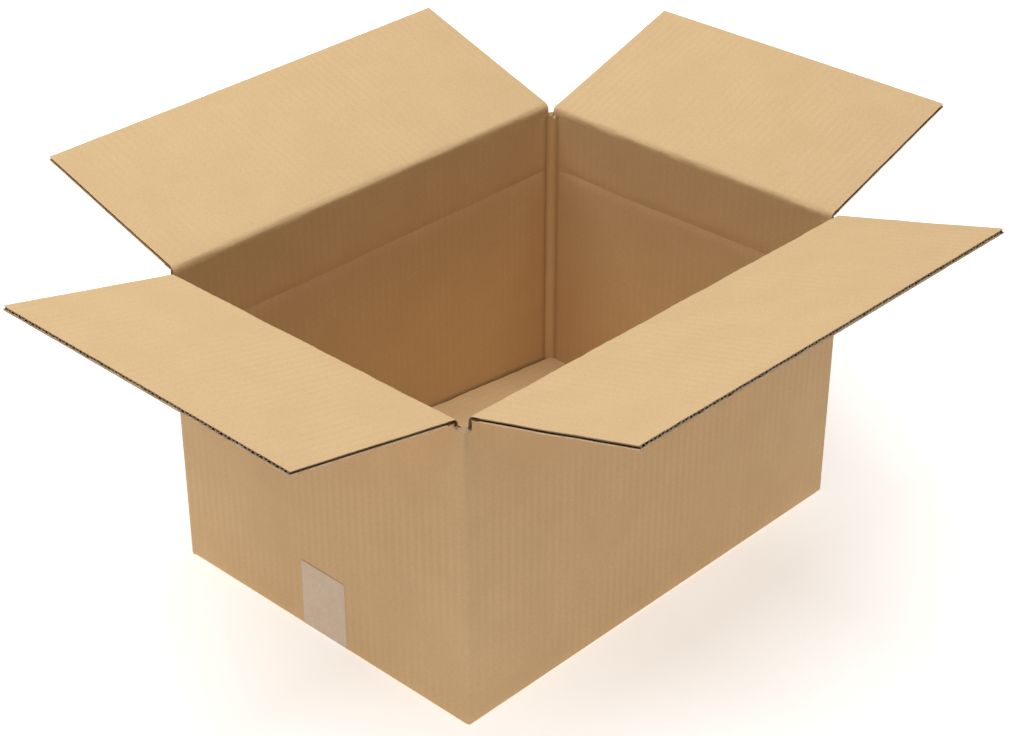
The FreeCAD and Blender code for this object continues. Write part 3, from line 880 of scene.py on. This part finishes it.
def carton_walls():
    """The four walls in one piece up to the slots, with rounded folds, beads and the scored height line, and
    painted light and shade on the beads and slot floors.
    """
    heights = wall_heights()
    foot = np.clip(BASE_Z + FOOT_RADIUS - heights, 0, None)
    inset = FOOT_RADIUS - np.sqrt(np.clip(FOOT_RADIUS ** 2 - foot ** 2, 0, None))
    shell = Shell()
    columns = wall_columns()
    outer, inner, uv, painted_light = [], [], [], []
    for column in columns:
        side, way = column["side"], column["way"]
        bulge = np.minimum(wall_bulge(column, heights), 0)
        outer.append(side.wall_point(column["outer"][0] - inset * way[0] + bulge,
                                     column["outer"][1] - inset * way[1], heights))
        inner.append(inner_wall_point(column, heights) + bulge[:, None] * side.out)
        uv.append(side.board_uv(column["across"], heights))
        # Painted highlight and shade of the corner beads, as tones on the inner liner
        tone_and_painted_light = np.full(len(heights), bead_painted_light(column["run"]) if column["beaded"] else 0.0)
        # Painted shade on the slot floor at the top of each corner column
        tone_and_painted_light[-1] = tone_and_painted_light[-1] if column["straight"] else SLOT_FLOOR_SHADE
        painted_light.append(tone_and_painted_light)
    painted_light = np.array(painted_light)
    outer_painted_shade = np.where(painted_light == SLOT_FLOOR_SHADE, SLOT_FLOOR_SHADE, 0.0)
    first = shell.add(np.array(outer), np.array(uv), outer_painted_shade)
    second = shell.add(np.array(inner), np.array(uv), painted_light)
    for column in range(len(columns)):
        after = (column + 1) % len(columns)
        for row in range(len(heights) - 1):
            shell.quad(first[column, row], first[after, row], first[after, row + 1],
                       first[column, row + 1], OUTER_PAPER)
            shell.quad(second[after, row], second[column, row], second[column, row + 1],
                       second[after, row + 1], INNER_PAPER)
        low_rim = [first[column, 0], first[after, 0], second[after, 0], second[column, 0]]
        high_rim = [first[column, -1], first[after, -1], second[after, -1], second[column, -1]]
        shell.quad(*low_rim[::-1], WAVE_PAPER)
        shell.quad(*high_rim, INNER_PAPER)
    made = shell.build("carton_walls")
    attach(made, "carton")
    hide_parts("carton_body")


# Bottom
def bottom_flap(side, half_width, level, spring, length, seed, ragged):
    """One bottom flap, folded in from the foot of a wall, with its inner liner upwards."""
    towards = -side.out * math.cos(spring) + UP * math.sin(spring)
    facing = side.out * math.sin(spring) + UP * math.cos(spring)
    root = side.out * (side.reach - BOARD) + UP * (level - HALF_BOARD)

    def place(away, across, proud):
        away, across, proud = np.broadcast_arrays(away - HALF_BOARD, across, proud + HALF_BOARD)
        return root + away[..., None] * towards + across[..., None] * side.along + proud[..., None] * facing

    def sprung(away, across):
        uneven = np.abs(ripple(away, across, 110 * MM, seed))
        return BOTTOM_RIPPLE * uneven * smooth(away / (40 * MM)) * (1.0 if spring else 0.0)

    sheet = Sheet(place, lambda away, across: side.board_uv(across, -away),
                  lambda away: -half_width + 0 * away, lambda away: half_width + 0 * away,
                  HALF_BOARD, length, seed, sprung, ragged)
    shell = Shell()
    sheet.liner(shell, 1, seed, INNER_LIP)
    sheet.liner(shell, -1, seed + 20, INNER_LIP)
    sheet.medium(shell)
    made = shell.build(side.label + "_bottom_flap")
    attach(made, "carton")


def bottom_flaps():
    """Two long flaps flat on the table under two short ones that spring up a little."""
    low, high = BASE_Z + HALF_BOARD, BASE_Z + BOARD + HALF_BOARD
    outer_length = HALF_WIDTH - HALF_BOARD - SEAM_GAP / 2
    for number, side in enumerate((FRONT_LONG, BACK_LONG)):
        bottom_flap(side, side.half_run - SLOT_INSET, low, 0.0, outer_length, 300 + 7 * number, 0.2 * MM)
    for number, side in enumerate((FRONT_SHORT, BACK_SHORT)):
        bottom_flap(side, side.half_run - SLOT_INSET, high, BOTTOM_SPRING, INNER_BOTTOM_LENGTH,
                    340 + 7 * number, BOTTOM_RAGGED)


def glued_lap():
    """Tab of the back wall glued inside the front short wall."""
    side = FRONT_SHORT
    low, high = BASE_Z + 2 * BOARD + LAP_TRIM, SLOT_BOTTOM - LAP_TRIM
    share, climb = np.meshgrid(np.linspace(0, 1, 9), np.linspace(0, 1, 40), indexing="ij")
    bottom, top = low + LAP_TAPER * share, high - LAP_TAPER * share
    height = bottom + climb * (top - bottom)
    run = share * LAP_WIDTH - side.corner
    run = run - LAP_RAGGED * np.abs(wander(height, 6 * MM, 71)) * smooth((share - 0.85) * 7)
    face = side.reach - 2 * BOARD + LAP_EDGE_CRUSH * smooth((share - 0.9) * 10)
    shell = Shell()
    glued_face = side.wall_point(side.reach - BOARD - LAP_SEAT, run, height)
    shell.slab(side.wall_point(face, run, height), glued_face, side.board_uv(run, height),
               (INNER_PAPER, OUTER_PAPER, CUT_PAPER))
    made = shell.build("glued_lap")
    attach(made, "carton")


def tape_profile():
    """Line of the carton's skin under the tape: down one short wall, under the box, up the other."""
    half, radius = HALF_LENGTH, FOOT_RADIUS
    wall = [((-half, height), (-1.0, 0.0)) for height in (TAPE_HIGH[2], BASE_Z + radius)]
    for angle in np.linspace(0, math.pi / 2, 9)[1:]:
        wall.append(((-half + radius - radius * math.cos(angle), BASE_Z + radius - radius * math.sin(angle)),
                     (-math.cos(angle), -math.sin(angle))))
    floor = [((x, BASE_Z), (0.0, -1.0)) for x in steps(-half + radius, half - radius, 12 * MM)[1:-1]]
    other = [((-place[0], place[1]), (-way[0], way[1])) for place, way in wall[::-1]]
    entries = wall + floor + other
    return np.array([place for place, _ in entries]), np.array([way for _, way in entries])


def bottom_tape():
    """Tape under the seam and up both short walls, with saw-toothed ends."""
    middle, way = tape_profile()
    run = np.concatenate([[0], np.cumsum(np.linalg.norm(np.diff(middle, axis=0), axis=1))])
    across = steps(TAPE_LOW[1], TAPE_HIGH[1], TOOTH_STEP)
    drop = np.zeros((len(middle), len(across)))
    drop[0] = drop[-1] = TOOTH_DEPTH * (np.arange(len(across)) % 2)
    skins = []
    for lift in (TAPE_HIGH[0] - HALF_LENGTH, TAPE_CLEARANCE):
        place = middle[:, None, :] + way[:, None, :] * lift
        forward, sideways = place[..., 0] + 0 * drop, across[None, :] + 0 * drop
        skins.append(np.stack([forward, sideways, place[..., 1] - drop], -1))
    shell = Shell()
    uv = np.stack(np.broadcast_arrays(run[:, None], across[None, :]), -1)
    shell.slab(skins[0], skins[1], uv, (0, 0, 0))
    made = shell.build("packing_tape", [TAPE_FILM])
    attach(made, "carton")
    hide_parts("bottom_tape")


# Studio
def camera():
    """Camera where the photograph was taken from."""
    data = bpy.data.cameras.new("photo_camera")
    data.lens = 77.385
    data.sensor_width = 36.0
    data.shift_x = 0.0087
    data.shift_y = 0.0190
    made = bpy.data.objects.new("photo_camera", data)
    bpy.context.collection.objects.link(made)
    forward = Vector((0.618386, 0.590621, -0.518425))
    right = Vector((0.690401, -0.723427, -0.000649))
    upwards = Vector((0.375426, 0.357520, 0.855123))
    turned = Matrix((right, upwards, -forward)).transposed().to_4x4()
    turned.translation = Vector((-1.107491, -1.045482, 1.054629))
    made.matrix_world = turned
    bpy.context.scene.camera = made


def lamp(name, place, aim, size, power):
    """Soft square lamp that points at a place."""
    data = bpy.data.lights.new(name, "AREA")
    data.size = size
    data.energy = power
    made = bpy.data.objects.new(name, data)
    bpy.context.collection.objects.link(made)
    made.location = place
    made.rotation_mode = "QUATERNION"
    made.rotation_quaternion = (Vector(aim) - Vector(place)).to_track_quat("-Z", "Y")


def studio():
    """White surroundings, one broad overhead lamp and a white floor that keeps a faint shadow; the floor also
    glows near the carton as painted bounce light.
    """
    world = bpy.data.worlds.new("white_studio")
    world.use_nodes = True
    tree = world.node_tree
    sky = tree.nodes["Background"]
    sky.inputs[0].default_value = (1.0, 1.0, 1.0, 1.0)
    rays = grow(tree, "ShaderNodeLightPath")
    seen = maths(tree, "MAXIMUM", rays.outputs["Is Camera Ray"], rays.outputs["Is Glossy Ray"])
    tree.links.new(seen, sky.inputs[1])
    bpy.context.scene.world = world
    lamp("overhead_lamp", LAMP_PLACE, (LAMP_PLACE[0], LAMP_PLACE[1], 0.0), LAMP_SIZE, LAMP_POWER)

    white, tree, shader = new_material("pale_floor")
    shader.inputs["Base Color"].default_value = (FLOOR_ALBEDO, FLOOR_ALBEDO, FLOOR_ALBEDO, 1.0)
    shader.inputs["Roughness"].default_value = 0.95
    shader.inputs["Specular IOR Level"].default_value = 0.0
    shader.inputs["Emission Color"].default_value = (1.0, 1.0, 1.0, 1.0)
    place = grow(tree, "ShaderNodeTexCoord").outputs["Object"]
    distance = grow(tree, "ShaderNodeVectorMath", {0: place}, operation="LENGTH").outputs["Value"]
    # Glow of the floor: painted bounce light for light rays, and a white floor for camera rays
    levels = []
    for near, far in ((FLOOR_BOUNCE_NEAR, FLOOR_BOUNCE_FAR), (FLOOR_NEAR, FLOOR_FAR)):
        levels.append(grow(tree, "ShaderNodeMapRange",
                           {"Value": distance, "From Min": FLOOR_FADE_START, "From Max": FLOOR_FADE_END,
                            "To Min": near, "To Max": far},
                           interpolation_type="SMOOTHSTEP").outputs[0])
    seen = grow(tree, "ShaderNodeLightPath").outputs["Is Camera Ray"]
    strength = grow(tree, "ShaderNodeMix", {0: seen, 2: levels[0], 3: levels[1]}).outputs[0]
    tree.links.new(strength, shader.inputs["Emission Strength"])
    bpy.ops.mesh.primitive_plane_add(size=FLOOR_SIZE, location=(0, 0, 0))
    floor = bpy.context.object
    floor.name = "floor"
    floor.data.materials.append(white)


carton_walls()
bottom_flaps()
glued_lap()
bottom_tape()
for wall, fold_seed in zip(SIDES, FOLD_SEEDS):
    fold_band(wall, fold_seed)
for bend in FLAP_BENDS:
    top_flap(*bend)
camera()
studio()

scene = bpy.context.scene
scene.view_settings.view_transform = "Standard"
